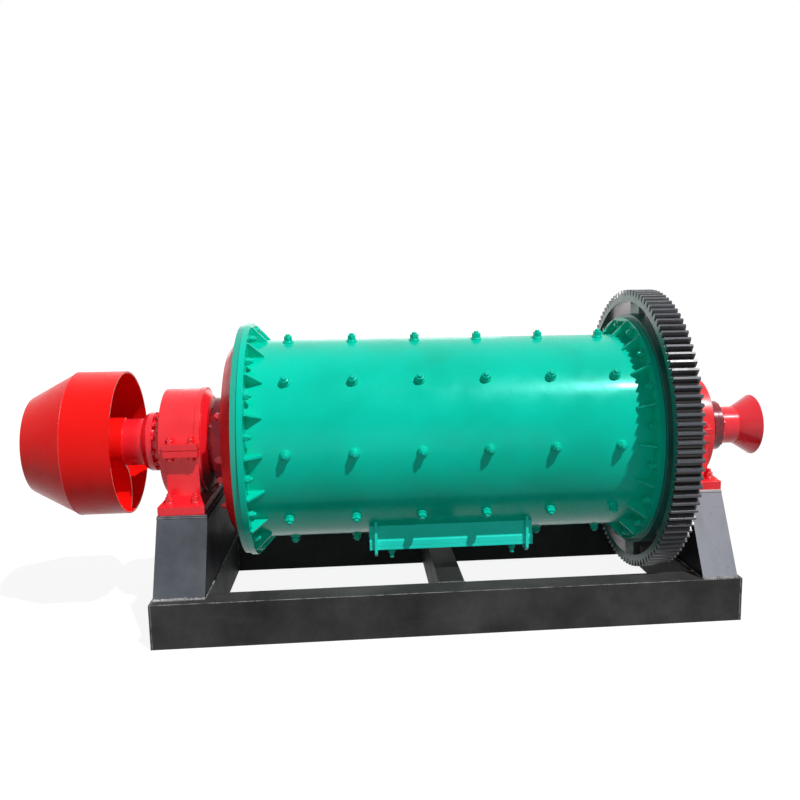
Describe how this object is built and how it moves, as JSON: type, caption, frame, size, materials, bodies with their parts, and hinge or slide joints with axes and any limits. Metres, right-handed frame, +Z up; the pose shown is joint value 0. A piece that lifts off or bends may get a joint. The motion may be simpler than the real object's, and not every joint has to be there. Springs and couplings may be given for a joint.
{
  "type": "ball mill",
  "caption": "Horizontal grinding ball mill on a welded frame, with a drum feeder, bearings, a flanged shell that turns, a girth gear and an outlet trumpet.",
  "frame": {"origin": "on the underside of the middle cross beam, below the mill's axis and midway along the frame", "axes": "+X along the mill's axis towards the outlet, +Z up, -Y towards the picture's viewer"},
  "size_m": [3.415, 1.344, 1.462],
  "materials": {
    "frame_paint": "satin dark grey paint",
    "gear_steel": "machined teeth, oiled",
    "green_paint": "gloss turquoise green enamel",
    "liner_steel": "bare cast steel",
    "pedestal_paint": "satin grey paint",
    "red_paint": "gloss red enamel"
  },
  "bodies": {
    "base": {"beam_back": "frame_paint", "beam_end_caps": "frame_paint", "beam_front": "frame_paint", "bearing_base_discharge": "red_paint", "bearing_base_feed": "red_paint", "bearing_cap_discharge": "red_paint", "bearing_cap_feed": "red_paint", "bearing_cover_discharge_left": "red_paint", "bearing_cover_discharge_right": "red_paint", "bearing_cover_feed_left": "red_paint", "bearing_cover_feed_right": "red_paint", "cross_beam_discharge": "frame_paint", "cross_beam_feed": "frame_paint", "cross_beam_middle": "frame_paint", "pedestal_discharge": "pedestal_paint", "pedestal_feed": "pedestal_paint", "seat_plate_discharge": "pedestal_paint", "seat_plate_feed": "pedestal_paint"},
    "mill": {"feeder_cone": "red_paint", "feeder_drum": "red_paint", "feeder_mouth_ring": "red_paint", "feeder_neck": "red_paint", "feeder_partition": "red_paint", "feeder_scroll": "red_paint", "gear_rim": "gear_steel", "gear_web": "gear_steel", "gussets_discharge": "green_paint", "gussets_feed": "green_paint", "head_discharge": "red_paint", "head_feed": "red_paint", "manhole_clamps": "green_paint", "manhole_cover": "green_paint", "manhole_frame": "green_paint", "outlet_trumpet": "red_paint", "shell": "green_paint", "shell_flange_discharge": "green_paint", "shell_flange_feed": "green_paint", "shell_liner": "liner_steel", "trunnion_discharge": "red_paint", "trunnion_feed": "red_paint"}
  },
  "joints": [
    {"name": "mill_spin", "type": "hinge", "parent": "base", "child": "mill", "pos_m": [0, 0, 0.79], "axis": [1, 0, 0], "continuous": true}
  ]
}
